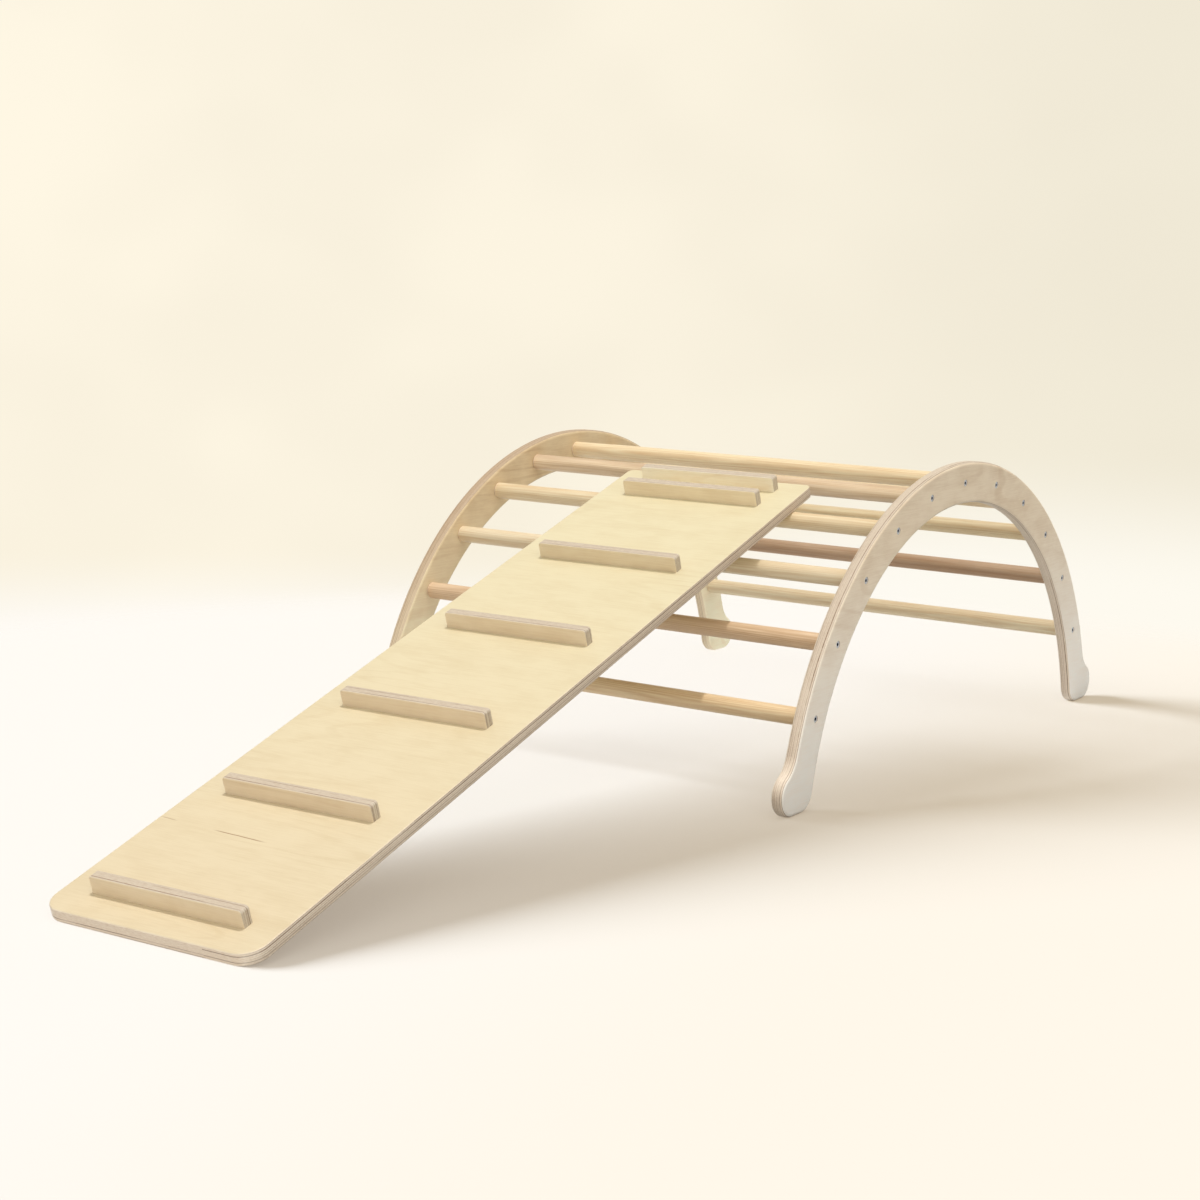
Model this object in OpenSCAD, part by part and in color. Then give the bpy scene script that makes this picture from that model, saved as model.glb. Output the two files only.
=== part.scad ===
// Wooden rocker arch for a child: two arch-shaped plywood panels joined by eleven round
// rungs, with a cleated ramp board hooked over the fourth rung.
// X runs across the arch, Y along it with the ramp's foot towards -Y, and Z is up.
// The origin is on the floor in the middle of the arch. Sizes are in millimetres.

/* [Arch] */
// Height of the crown above the floor
arch_h = 423; // [400:1:450]
// Radius of the circle that the rungs lie on
rung_circle_r = 460; // [440:1:490]
// Width of a panel between its outer and inner curve
band_w = 59; // [50:1:68]
// Thickness of a panel
panel_t = 18; // [15:1:24]
// Clear width between the two panels
clear_w = 664; // [480:1:800]
// Round-over along a panel's edges
panel_round = 5; // [2:0.5:6]

/* [Feet] */
// Flat length of each sole
sole_len = 24; // [8:1:40]
// Radius of a foot's outer bulb
bulb_r = 28.5; // [24:0.5:32]
// Radius of a foot's inner toe
toe_r = 30; // [24:0.5:32]
// Radius of the hollow between a foot's bulb and the outer curve
ankle_r = 50; // [35:1:70]

/* [Rungs] */
// Diameter of a rung
rung_d = 24; // [20:1:30]
// Angle between neighbouring rungs, seen from the centre of their circle
rung_spacing_angle = 13.2; // [12:0.1:14]
// Chamfer at a rung's ends
rung_chamfer = 1.5; // [0.5:0.25:3]

/* [Panel screws] */
// Diameter of a screw's head
head_d = 10; // [9:0.5:12]
// Height of the head down to the shank
head_h = 3; // [2.5:0.5:4]
// Diameter of the plain shank inside the panel
shank_d = 7; // [6:0.5:8]
// Diameter of the core inside the rung
core_d = 5; // [4:0.5:5.5]
// Length of a screw
screw_len = 50; // [40:1:70]
// Depth of the head below the panel's face
head_sink = 0.5; // [0:0.1:1]
// Width across the flats of the hexagon socket
socket_af = 4; // [3:0.5:5]
// Depth of the hexagon socket
socket_depth = 2.5; // [1.5:0.5:3]

/* [Ramp board] */
// Length of the board
ramp_len = 1250; // [1100:1:1400]
// Width of the board
ramp_w = 304; // [240:1:400]
// Thickness of the board
ramp_t = 16; // [12:1:20]
// Radius of the two corners at the board's foot
ramp_foot_r = 28; // [10:1:40]
// Radius of the two corners at its top end
ramp_top_r = 10; // [8:1:30]
// Round-over along the board's edges
ramp_round = 2; // [1:0.5:4]
// Turn of the ramp away from the arch's long axis, seen from above
ramp_yaw = 1.5; // [0:0.1:3]
// Distance of the board's middle from the arch's middle, at the hooks
ramp_offset = 34.5; // [-60:0.5:60]

/* [Cleats] */
// Length of a cleat
cleat_len = 219; // [160:1:236]
// Height of a cleat above the board
cleat_h = 21.5; // [18:0.5:28]
// Thickness of a cleat
cleat_t = 14; // [12:0.5:20]
// Radius of a cleat's free corners
cleat_corner_r = 4; // [4:0.5:8]
// Round-over along a cleat's edges
cleat_round = 1.5; // [0.5:0.5:2]
// Distance from the ramp's foot to the first cleat
first_step = 41; // [30:1:80]
// Distance from the ramp's top end to the upper hook
hook_margin = 21; // [12:1:30]
// Gap between the two cleats of a hook
hook_gap = 37.5; // [35:0.5:45]

/* [Cleat screws] */
// Diameter of a wood screw's shank
wood_screw_d = 4; // [3:0.5:5]
// Diameter of a wood screw's countersunk head
wood_head_d = 8; // [7:0.5:9]
// Length of a screw that holds a step cleat
step_screw_len = 30; // [24:1:34]
// Length of a screw that holds a pair of hooks
hook_screw_len = 52; // [46:1:56]
// Distance between neighbouring screws along a cleat
wood_screw_pitch = 75; // [50:1:76]

/* [Hidden] */
$fn = 96;
rung_count = 11;
middle_rung = (rung_count + 1) / 2;
hook_rung = 4;
step_count = 5;
screws_per_cleat = 3;

// Gaps left for assembly: round a screw, beyond its tip, and between the ramp and its rung
screw_clear = 0.1;
tip_clear = 1;
seat_clear = 0.3;
// Over-length of a cutter, so that it leaves no skin
cut = 1;
// Neighbouring arcs of a foot cross by this little, so that they join and don't just touch
arc_bite = 0.15;

outer_r = rung_circle_r + band_w / 2;
inner_r = rung_circle_r - band_w / 2;
centre_z = arch_h - outer_r;
rung_r = rung_d / 2;
panel_x = clear_w / 2 + panel_t / 2;
// How far a panel screw's core reaches into its rung
core_len = screw_len + head_sink - panel_t;

// Foot in the panel's plane, as [along the arch, up]
arch_centre = [0, centre_z];
toe = [sqrt(pow(inner_r + toe_r - arc_bite, 2) - pow(toe_r - centre_z, 2)), toe_r];
bulb = [toe[0] + sole_len, bulb_r];
ankle = circles_meet(
    arch_centre, outer_r + ankle_r - arc_bite,
    bulb, bulb_r + ankle_r - arc_bite);
band_end = atan2(toe[0], toe_r - centre_z);
ankle_angle = atan2(ankle[0], ankle[1] - centre_z);
sole_h = max(toe_r, bulb_r);

// Ramp: places along the board from its foot, then where the rung meets it
hook_high = ramp_len - hook_margin - cleat_t;
hook_low = hook_high - hook_gap - cleat_t;
step_pitch = (hook_low - first_step) / step_count;
rung_along = hook_low + cleat_t + seat_clear + rung_r + cleat_len / 2 * sin(ramp_yaw);
// The turned board comes nearest to the rung at one long edge and clears it there
board_lift = rung_r + seat_clear
    + ramp_w / 2 * sin(ramp_yaw) * (rung_place(hook_rung)[1] + rung_r) / rung_along;
// Slope at which the foot's rounded lower edge just rests on the floor
ramp_slope = asin((rung_place(hook_rung)[1] - ramp_round)
        / norm([rung_along - ramp_round, board_lift + ramp_round]))
    + atan2(board_lift + ramp_round, rung_along - ramp_round);

function two_digits(i) = str(i < 10 ? "0" : "", i);
rung_names = [for (i = [1 : rung_count]) str("rung_", two_digits(i))];
step_names = [for (i = [1 : step_count]) str("step_cleat_", i)];

// Centre of rung i in the panel's plane, as [along the arch, up]
function rung_angle(i) = (i - middle_rung) * rung_spacing_angle;
function rung_place(i) =
    arch_centre + rung_circle_r * [sin(rung_angle(i)), cos(rung_angle(i))];

// Point where two circles meet, on the left of the way from p to q
function circles_meet(p, p_r, q, q_r) =
    let (way = q - p,
         d = norm(way),
         along = (p_r * p_r - q_r * q_r + d * d) / (2 * d),
         aside = sqrt(p_r * p_r - along * along))
    p + (along * way + aside * [-way[1], way[0]]) / d;

// Distance of a cleat's lower face from the ramp's foot
function step_place(i) = first_step + (i - 1) * step_pitch;

// ---------- shared shapes ----------

// Rectangle with four round corners, centred
module round_rect(w, h, r) {
    square([w - 2 * r, h], center = true);
    square([w, h - 2 * r], center = true);
    for (x = [-1, 1], y = [-1, 1])
        translate([x * (w / 2 - r), y * (h / 2 - r)])
            circle(r);
}

// Half of such a rectangle: straight at x = 0, round at x = w
module round_edge(w, h, r) {
    translate([0, -h / 2])
        square([w - r, h]);
    translate([0, r - h / 2])
        square([w, h - 2 * r]);
    for (y = [-1, 1])
        translate([w - r, y * (h / 2 - r)])
            circle(r);
}

// Disc whose rim is rounded over on both faces
module round_disc(disc_r, t, r) {
    rotate_extrude()
        round_edge(disc_r, t, r);
}

// Half a board: cut straight at y = 0, two round corners at y = l, rounded over along its edges
module half_board(w, l, t, corner_r, r) {
    rotate([-90, 0, 0])
        linear_extrude(l - corner_r)
            round_rect(w, t, r);
    rotate([90, 0, 90])
        linear_extrude(w - 2 * corner_r, center = true)
            round_edge(l, t, r);
    for (x = [-1, 1])
        translate([x * (w / 2 - corner_r), l - corner_r, 0])
            round_disc(corner_r, t, r);
}

// ---------- side panels ----------

// Turns the panel's plane upright: local x becomes Y, local y becomes Z, local z becomes X
module upright()
    rotate([90, 0, 90])
        children();

// Runs its children once at each rung, in the panel's plane
module at_rungs() {
    for (i = [1 : rung_count])
        translate(concat(rung_place(i), 0))
            children();
}

// One foot: toe and bulb discs over a flat sole, with a core between them
module foot() {
    translate(concat(toe, 0))
        round_disc(toe_r, panel_t, panel_round);
    translate(concat(bulb, 0))
        round_disc(bulb_r, panel_t, panel_round);
    translate([toe[0], sole_h + arc_bite, 0])
        rotate([90, 0, 90])
            linear_extrude(sole_len)
                mirror([1, 0])
                    round_edge(sole_h, panel_t, panel_round);
    linear_extrude(panel_t, center = true)
        polygon([
            arch_centre + rung_circle_r * [sin(ankle_angle), cos(ankle_angle)],
            toe,
            bulb,
            ankle
        ]);
}

// Round cutter that leaves the hollow ankle rounded over on both faces
module ankle_cutter() {
    translate(concat(ankle, 0))
        rotate_extrude()
            difference() {
                translate([0, -panel_t / 2 - cut])
                    square([ankle_r + panel_round, panel_t + 2 * cut]);
                translate([ankle_r + band_w / 2, 0])
                    round_rect(band_w, panel_t, panel_round);
            }
}

// Hole for one panel screw, with the outer face at z = panel_t / 2
module panel_screw_hole() {
    translate([0, 0, panel_t / 2 - head_sink])
        rotate([180, 0, 0])
            screw_shape(head_d / 2 + screw_clear, head_h, shank_d / 2 + screw_clear, panel_t + cut);
    translate([0, 0, panel_t / 2 - head_sink])
        cylinder(r = head_d / 2 + screw_clear, h = head_sink + cut);
}

// Panel in its own plane, with its screw holes sunk into the face at +z
module panel_flat() {
    difference() {
        union() {
            translate(concat(arch_centre, 0))
                rotate_extrude(angle = 2 * band_end, start = 90 - band_end)
                    translate([rung_circle_r, 0])
                        round_rect(band_w, panel_t, panel_round);
            foot();
            mirror([1, 0, 0])
                foot();
        }
        ankle_cutter();
        mirror([1, 0, 0])
            ankle_cutter();
        at_rungs()
            panel_screw_hole();
    }
}

module side_panel_right()
    color([0.85, 0.74, 0.60])
        translate([panel_x, 0, 0])
            upright()
                panel_flat();

module side_panel_left()
    color([0.80, 0.67, 0.52])
        mirror([1, 0, 0])
            translate([panel_x, 0, 0])
                upright()
                    panel_flat();

// ---------- rungs and their screws ----------

// Countersunk screw body: head at z = 0, tip towards +z
module screw_shape(head_r, head_height, body_r, l) {
    cylinder(r1 = head_r, r2 = body_r, h = head_height);
    cylinder(r = body_r, h = l);
}

// Rung, centred on its axis along x, with a pilot hole in each end
module rung(i) {
    place = rung_place(i);
    color([0.88, 0.76, 0.60])
        translate([0, place[0], place[1]])
            rotate([0, 90, 0])
                difference() {
                    rotate_extrude()
                        polygon([
                            [0, -clear_w / 2],
                            [rung_r - rung_chamfer, -clear_w / 2],
                            [rung_r, -clear_w / 2 + rung_chamfer],
                            [rung_r, clear_w / 2 - rung_chamfer],
                            [rung_r - rung_chamfer, clear_w / 2],
                            [0, clear_w / 2]
                        ]);
                    for (end = [0, 1])
                        mirror([0, 0, end])
                            translate([0, 0, clear_w / 2 - core_len - tip_clear])
                                cylinder(r = core_d / 2 + screw_clear, h = core_len + tip_clear + cut);
                }
}

// Panel screw with its head's face at z = 0, tip towards -z
module panel_screw() {
    collar = panel_t - head_sink;
    rotate([180, 0, 0])
        difference() {
            union() {
                screw_shape(head_d / 2, head_h, shank_d / 2, collar);
                cylinder(r = core_d / 2, h = screw_len);
            }
            translate([0, 0, -cut])
                cylinder(r = socket_af / 2 / cos(30), h = socket_depth + cut, $fn = 6);
        }
}

module panel_screws_right()
    color([0.72, 0.72, 0.72])
        translate([panel_x, 0, 0])
            upright()
                at_rungs()
                    translate([0, 0, panel_t / 2 - head_sink])
                        panel_screw();

module panel_screws_left()
    color([0.72, 0.72, 0.72])
        mirror([1, 0, 0])
            translate([panel_x, 0, 0])
                upright()
                    at_rungs()
                        translate([0, 0, panel_t / 2 - head_sink])
                            panel_screw();

// ---------- ramp ----------

// Places children given in the ramp's frame: x across from the board's middle, y up the
// board from its foot, z away from its underside
module on_ramp()
    translate([ramp_offset, rung_place(hook_rung)[0], rung_place(hook_rung)[1]])
        rotate([ramp_slope, 0, ramp_yaw])
            translate([0, -rung_along, board_lift])
                children();

// Runs its children at each screw of a cleat whose lower face is at y
module at_cleat_screws(y)
    for (k = [1 : screws_per_cleat])
        translate([(k - (screws_per_cleat + 1) / 2) * wood_screw_pitch, y + cleat_t / 2, 0])
            children();

// Wood screw, or the hole for it when a gap is given, head at z = 0 and tip towards +z
module wood_screw(l, gap = 0) {
    screw_shape(wood_head_d / 2 + gap, (wood_head_d - wood_screw_d) / 2, wood_screw_d / 2 + gap,
        l + (gap > 0 ? tip_clear : 0));
}

// Hook screws start at the underside of the lower cleats
module hook_screw_place()
    for (y = [hook_low, hook_high])
        translate([0, 0, -cleat_h])
            at_cleat_screws(y)
                children();

module step_screw_place()
    for (i = [1 : step_count])
        at_cleat_screws(step_place(i))
            children();

// Cleat standing on z = 0 with its lower face at y = 0, its free corners and edges rounded
module cleat()
    translate([0, cleat_t / 2, 0])
        rotate([90, 0, 0])
            half_board(cleat_len, cleat_h, cleat_t, cleat_corner_r, cleat_round);

module ramp_board()
    color([0.93, 0.86, 0.72])
        on_ramp()
            difference() {
                translate([0, ramp_len / 2, ramp_t / 2]) {
                    half_board(ramp_w, ramp_len / 2, ramp_t, ramp_top_r, ramp_round);
                    mirror([0, 1, 0])
                        half_board(ramp_w, ramp_len / 2, ramp_t, ramp_foot_r, ramp_round);
                }
                step_screw_place()
                    wood_screw(step_screw_len, screw_clear);
                hook_screw_place()
                    wood_screw(hook_screw_len, screw_clear);
            }

module step_cleat(i)
    color([0.80, 0.70, 0.58])
        on_ramp()
            difference() {
                translate([0, step_place(i), ramp_t])
                    cleat();
                at_cleat_screws(step_place(i))
                    wood_screw(step_screw_len, screw_clear);
            }

// Hook cleat on top of the board, used when the ramp is turned over
module flip_hook(y)
    color([0.80, 0.70, 0.58])
        on_ramp()
            difference() {
                translate([0, y, ramp_t])
                    cleat();
                hook_screw_place()
                    wood_screw(hook_screw_len, screw_clear);
            }

// Hook cleat under the board, beside the rung that carries the ramp
module hook_cleat(y)
    color([0.80, 0.70, 0.58])
        on_ramp()
            difference() {
                translate([0, y, 0])
                    mirror([0, 0, 1])
                        cleat();
                hook_screw_place()
                    wood_screw(hook_screw_len, screw_clear);
            }

module step_cleat_screws()
    color([0.72, 0.72, 0.72])
        on_ramp()
            step_screw_place()
                wood_screw(step_screw_len);

module hook_screws()
    color([0.72, 0.72, 0.72])
        on_ramp()
            hook_screw_place()
                wood_screw(hook_screw_len);

side_panel_left();
side_panel_right();
for (i = [1 : rung_count]) rung(i);
panel_screws_left();
panel_screws_right();
ramp_board();
for (i = [1 : step_count]) step_cleat(i);
flip_hook(hook_low);  // flip_hook_low
flip_hook(hook_high);  // flip_hook_high
hook_cleat(hook_low);  // hook_cleat_low
hook_cleat(hook_high);  // hook_cleat_high
step_cleat_screws();
hook_screws();
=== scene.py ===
"""Wooden rocker arch with its cleated ramp board: finishes, fasteners and studio.

Everything is in metres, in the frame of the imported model: X across the arch, Y along it with
the ramp's foot towards -Y, Z up from the floor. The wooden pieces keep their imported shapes.
"""
import math

import bmesh
import bpy
from mathutils import Euler, Matrix, Vector


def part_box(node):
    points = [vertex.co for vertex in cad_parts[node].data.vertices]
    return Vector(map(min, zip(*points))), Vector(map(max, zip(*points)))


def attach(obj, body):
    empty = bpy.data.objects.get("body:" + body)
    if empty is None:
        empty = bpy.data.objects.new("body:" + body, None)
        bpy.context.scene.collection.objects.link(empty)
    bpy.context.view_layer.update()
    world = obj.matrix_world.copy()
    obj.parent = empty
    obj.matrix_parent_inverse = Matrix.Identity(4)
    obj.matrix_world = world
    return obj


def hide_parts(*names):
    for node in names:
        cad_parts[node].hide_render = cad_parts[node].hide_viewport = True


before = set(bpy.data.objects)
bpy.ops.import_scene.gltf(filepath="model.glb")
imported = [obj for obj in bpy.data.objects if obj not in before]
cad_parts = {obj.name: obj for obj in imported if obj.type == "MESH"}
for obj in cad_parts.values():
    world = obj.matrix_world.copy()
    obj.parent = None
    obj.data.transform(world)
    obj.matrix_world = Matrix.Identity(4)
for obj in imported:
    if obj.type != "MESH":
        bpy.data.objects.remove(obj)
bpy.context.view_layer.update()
# Objects of an empty session's start scene
for leftover in ("Cube", "Camera", "Light"):
    if leftover in bpy.data.objects:
        bpy.data.objects.remove(bpy.data.objects[leftover])

# ---------------------------------------------------------------------------------------
# Side panels: two arches cut from 18 mm birch plywood of thirteen plies, sanded round on
# every edge and oiled. The face veneer's grain runs along the arch, every second ply's up it.
# ---------------------------------------------------------------------------------------

PANEL_THICK = 0.018
PANEL_PLIES = 13


def shade(red, green, blue):
    """Colour of a finish, from its usual 0 to 255 values."""
    def linear(value):
        part = value / 255
        return part / 12.92 if part <= 0.04045 else ((part + 0.055) / 1.055) ** 2.4
    return (linear(red), linear(green), linear(blue), 1.0)


def feed(tree, socket, value):
    """Links a socket to another one, or sets its value."""
    if isinstance(value, bpy.types.NodeSocket):
        tree.links.new(value, socket)
    elif value is not None:
        socket.default_value = value


def add(tree, kind, inputs=None, **settings):
    """Adds a shader node; inputs go by socket name, settings are its properties."""
    node = tree.nodes.new("ShaderNode" + kind)
    for name, value in settings.items():
        setattr(node, name, value)
    for name, value in (inputs or {}).items():
        feed(tree, node.inputs[name], value)
    return node


def calc(tree, operation, first, second=None, third=None, clamp=False):
    """One step of arithmetic."""
    node = tree.nodes.new("ShaderNodeMath")
    node.operation = operation
    node.use_clamp = clamp
    for socket, value in zip(node.inputs, (first, second, third)):
        feed(tree, socket, value)
    return node.outputs[0]


def step(tree, value, low, high, start=0.0, end=1.0):
    """Smooth change from start to end as value goes from low to high."""
    node = add(tree, "MapRange", interpolation_type="SMOOTHSTEP")
    for name, part in zip(
        ("Value", "From Min", "From Max", "To Min", "To Max"), (value, low, high, start, end)
    ):
        feed(tree, node.inputs[name], part)
    return node.outputs["Result"]


def mix(tree, factor, first, second):
    """Goes from the first colour to the second one as factor goes from 0 to 1."""
    node = add(tree, "Mix", data_type="RGBA")
    sockets = {socket.identifier: socket for socket in node.inputs}
    feed(tree, sockets["Factor_Float"], factor)
    feed(tree, sockets["A_Color"], first)
    feed(tree, sockets["B_Color"], second)
    return [socket for socket in node.outputs if socket.identifier == "Result_Color"][0]


def vector(tree, x, y, z):
    return add(tree, "CombineXYZ", {"X": x, "Y": y, "Z": z}).outputs[0]


def parts(tree, value):
    node = add(tree, "SeparateXYZ", {"Vector": value})
    return node.outputs[0], node.outputs[1], node.outputs[2]


def vector_calc(tree, operation, first, second=None):
    """One step of vector arithmetic; its Vector is the first output, a length its Value."""
    node = add(tree, "VectorMath", operation=operation)
    feed(tree, node.inputs[0], first)
    feed(tree, node.inputs[1], second)
    return node.outputs


def cloud(tree, place, stretch, detail=2.0, roughness=0.5, seed=0.0):
    """Noise about 0.5 whose cells are stretched; stretch is in cells per metre on each axis."""
    spread = add(tree, "Mapping", {"Vector": place, "Scale": stretch}, vector_type="POINT")
    node = add(tree, "TexNoise", noise_dimensions="4D")
    feed(tree, node.inputs["Vector"], spread.outputs[0])
    feed(tree, node.inputs["W"], seed)
    feed(tree, node.inputs["Scale"], 1.0)
    feed(tree, node.inputs["Detail"], detail)
    feed(tree, node.inputs["Roughness"], roughness)
    return node.outputs["Fac"]


def group(name, inputs, outputs):
    """Empty shader node group, with what it is given and what it puts out. Inputs are
    (kind, name, value), outputs (kind, name)."""
    tree = bpy.data.node_groups.new(name, "ShaderNodeTree")
    for kind, label, value in inputs:
        socket = tree.interface.new_socket(label, in_out="INPUT", socket_type="NodeSocket" + kind)
        if value is not None:
            socket.default_value = value
    for kind, label in outputs:
        tree.interface.new_socket(label, in_out="OUTPUT", socket_type="NodeSocket" + kind)
    source = tree.nodes.new("NodeGroupInput")
    target = tree.nodes.new("NodeGroupOutput")
    return tree, source.outputs, target.inputs


def use(tree, shared, inputs):
    """Places a node group, feeds its inputs and gives its outputs."""
    node = tree.nodes.new("ShaderNodeGroup")
    node.node_tree = shared
    for name, value in inputs.items():
        feed(tree, node.inputs[name], value)
    return node.outputs


FINISH_OUTPUTS = [("Color", "Colour"), ("Float", "Roughness"), ("Float", "Height")]
FIGURE_CONTOURS = 120.0

# Rotary-cut birch face: contour figure, soft mottle, fibres and short pores along x
veneer, given, put = group(
    "birch_face",
    [("Vector", "Place", None), ("Color", "Pale", None), ("Color", "Dark", None),
     ("Float", "Figure", 0.3), ("Float", "Mottle", 0.3), ("Float", "Seed", 0.0)],
    FINISH_OUTPUTS,
)
field = cloud(veneer, given["Place"], (1.3, 7.0, 7.0), 2.0, 0.45, given["Seed"])
rings = calc(veneer, "SINE", calc(veneer, "MULTIPLY", field, FIGURE_CONTOURS))
rings = step(veneer, rings, 0.55, 1.0)
other_seed = calc(veneer, "ADD", given["Seed"], 9.0)
fade = cloud(veneer, given["Place"], (3.0, 6.0, 6.0), 1.0, 0.5, other_seed)
rings = calc(veneer, "MULTIPLY", rings, step(veneer, fade, 0.42, 0.68))
mottle = cloud(veneer, given["Place"], (17.0, 30.0, 30.0), 3.0, 0.6, given["Seed"])
mottle = step(veneer, mottle, 0.32, 0.7)
fibre = cloud(veneer, given["Place"], (26.0, 700.0, 700.0), 2.0, 0.6, given["Seed"])
pores = cloud(veneer, given["Place"], (110.0, 1700.0, 1700.0), 1.0, 0.5, given["Seed"])
pores = step(veneer, pores, 0.66, 0.8)
amount = calc(veneer, "MULTIPLY", rings, given["Figure"])
amount = calc(veneer, "MULTIPLY_ADD", mottle, given["Mottle"], amount)
amount = calc(veneer, "MULTIPLY_ADD", calc(veneer, "SUBTRACT", fibre, 0.5), 0.8, amount)
amount = calc(veneer, "MULTIPLY_ADD", pores, 0.16, amount, clamp=True)
feed(veneer, put["Colour"], mix(veneer, amount, given["Pale"], given["Dark"]))
rough = calc(veneer, "MULTIPLY_ADD", fibre, 0.12, 0.44)
feed(veneer, put["Roughness"], calc(veneer, "MULTIPLY_ADD", pores, 0.12, rough))
feed(veneer, put["Height"], calc(veneer, "MULTIPLY_ADD", pores, -0.6, fibre))

# Cut edge of plywood: z runs through the plies, the face ply's grain along x. The closed glue
# lines differ in strength and hardly show on sides that face along y. Two more stand open at
# their share of the thickness, from -0.5 to 0.5, and come and go along the edge.
plies, given, put = group(
    "ply_edge",
    [("Vector", "Place", None), ("Vector", "Normal", None), ("Float", "Thickness", 0.018),
     ("Float", "Plies", 13.0), ("Color", "Long grain", None), ("Color", "End grain", None),
     ("Color", "Glue", None), ("Float", "Glue strength", 0.5), ("Float", "Open line", 0.3),
     ("Float", "Second line", -0.3), ("Float", "Side tone", 0.0), ("Float", "Seed", 0.0)],
    [("Color", "Colour"), ("Float", "Face"), ("Float", "Roughness"), ("Float", "Height")],
)
# Ply that a spot lies in, and how far through that ply; the plies sway a little
through = parts(plies, given["Place"])[2]
sway = cloud(plies, given["Place"], (9.0, 9.0, 9.0), 2.0, 0.5, given["Seed"])
sway = calc(plies, "MULTIPLY", calc(plies, "SUBTRACT", sway, 0.5), 0.0012)
depth = calc(plies, "DIVIDE", calc(plies, "ADD", through, sway), given["Thickness"])
layer = calc(plies, "MULTIPLY", calc(plies, "ADD", depth, 0.5), given["Plies"])
index = calc(plies, "FLOOR", layer)
inside = calc(plies, "FRACT", layer)
crossed = calc(plies, "MODULO", index, 2.0)
# End grain is darker: the uncrossed plies show it on ends that face along x. Sides that face
# along y take the side tone, with a trace of the crossed plies.
nx, ny, nz = parts(plies, given["Normal"])
end_x = calc(plies, "MULTIPLY", nx, nx)
end_y = calc(plies, "MULTIPLY", ny, ny)
end_grain = calc(plies, "SUBTRACT", 0.45, calc(plies, "MULTIPLY", crossed, 0.45))
end_grain = calc(plies, "MULTIPLY", end_x, end_grain)
side_grain = calc(plies, "MULTIPLY_ADD", crossed, 0.04, given["Side tone"])
end_grain = calc(plies, "MULTIPLY_ADD", end_y, side_grain, end_grain)
# Each ply has its own tone, with grit from the saw and slow drifts
chance = add(plies, "TexWhiteNoise", noise_dimensions="1D")
feed(plies, chance.inputs["W"], calc(plies, "ADD", index, given["Seed"]))
grit = cloud(plies, given["Place"], (170.0, 420.0, 900.0), 2.0, 0.6, given["Seed"])
drift = cloud(plies, given["Place"], (14.0, 14.0, 300.0), 2.0, 0.6, given["Seed"])
tone = calc(plies, "MULTIPLY_ADD", end_x, 0.25, 0.05)
tone = calc(plies, "MULTIPLY", calc(plies, "SUBTRACT", chance.outputs["Value"], 0.5), tone)
tone = calc(plies, "MULTIPLY_ADD", calc(plies, "SUBTRACT", grit, 0.5), 1.3, tone)
drift_share = calc(plies, "MULTIPLY_ADD", end_x, 0.35, 0.15)
tone = calc(plies, "MULTIPLY_ADD", calc(plies, "SUBTRACT", drift, 0.5), drift_share, tone)
bare = calc(plies, "ADD", calc(plies, "ADD", end_grain, 0.25), tone, clamp=True)
wood = mix(plies, bare, given["Long grain"], given["End grain"])
# Closed glue lines
near = calc(plies, "MINIMUM", inside, calc(plies, "SUBTRACT", 1.0, inside))
line = step(plies, near, 0.06, 0.3, 1.0, 0.0)
seam = add(plies, "TexWhiteNoise", noise_dimensions="1D")
feed(plies, seam.inputs["W"], calc(plies, "ADD", calc(plies, "ROUND", layer), given["Seed"]))
strength = step(plies, seam.outputs["Value"], 0.45, 0.8, 0.1, 0.9)
other_seed = calc(plies, "ADD", given["Seed"], 3.0)
gaps = cloud(plies, given["Place"], (11.0, 11.0, 60.0), 2.0, 0.5, other_seed)
strength = calc(plies, "MULTIPLY", strength, step(plies, gaps, 0.35, 0.6, 0.3, 1.0))
strength = calc(plies, "MULTIPLY", strength, calc(plies, "MULTIPLY_ADD", end_x, 0.95, 0.05))
line = calc(plies, "MULTIPLY", line, strength)
# The two open ones; where one fades, the other comes out
for label, share in (("Open line", 0.75), ("Second line", 0.6)):
    off = calc(plies, "ABSOLUTE", calc(plies, "SUBTRACT", depth, given[label]))
    off = calc(plies, "MULTIPLY", off, given["Thickness"])
    split = step(plies, off, 0.0003, 0.0008, share, 0.0)
    split = calc(plies, "MULTIPLY", split, step(plies, gaps, 0.38, 0.54, 0.2, 1.0))
    line = calc(plies, "MAXIMUM", line, split)
    gaps = calc(plies, "SUBTRACT", 1.0, gaps)
line = calc(plies, "MULTIPLY", line, given["Glue strength"])
feed(plies, put["Colour"], mix(plies, line, wood, given["Glue"]))
# Face is 1 on the outer plies where they face through the thickness
skin = calc(plies, "SUBTRACT", 0.5, calc(plies, "DIVIDE", 1.0, given["Plies"]))
outermost = calc(plies, "GREATER_THAN", calc(plies, "ABSOLUTE", depth), skin)
facing = step(plies, calc(plies, "MULTIPLY", nz, nz), 0.2, 0.6)
feed(plies, put["Face"], calc(plies, "MULTIPLY", outermost, facing))
feed(plies, put["Roughness"], calc(plies, "MULTIPLY_ADD", bare, 0.2, 0.5))
feed(plies, put["Height"], calc(plies, "MULTIPLY_ADD", line, -1.5, grit))

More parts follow.
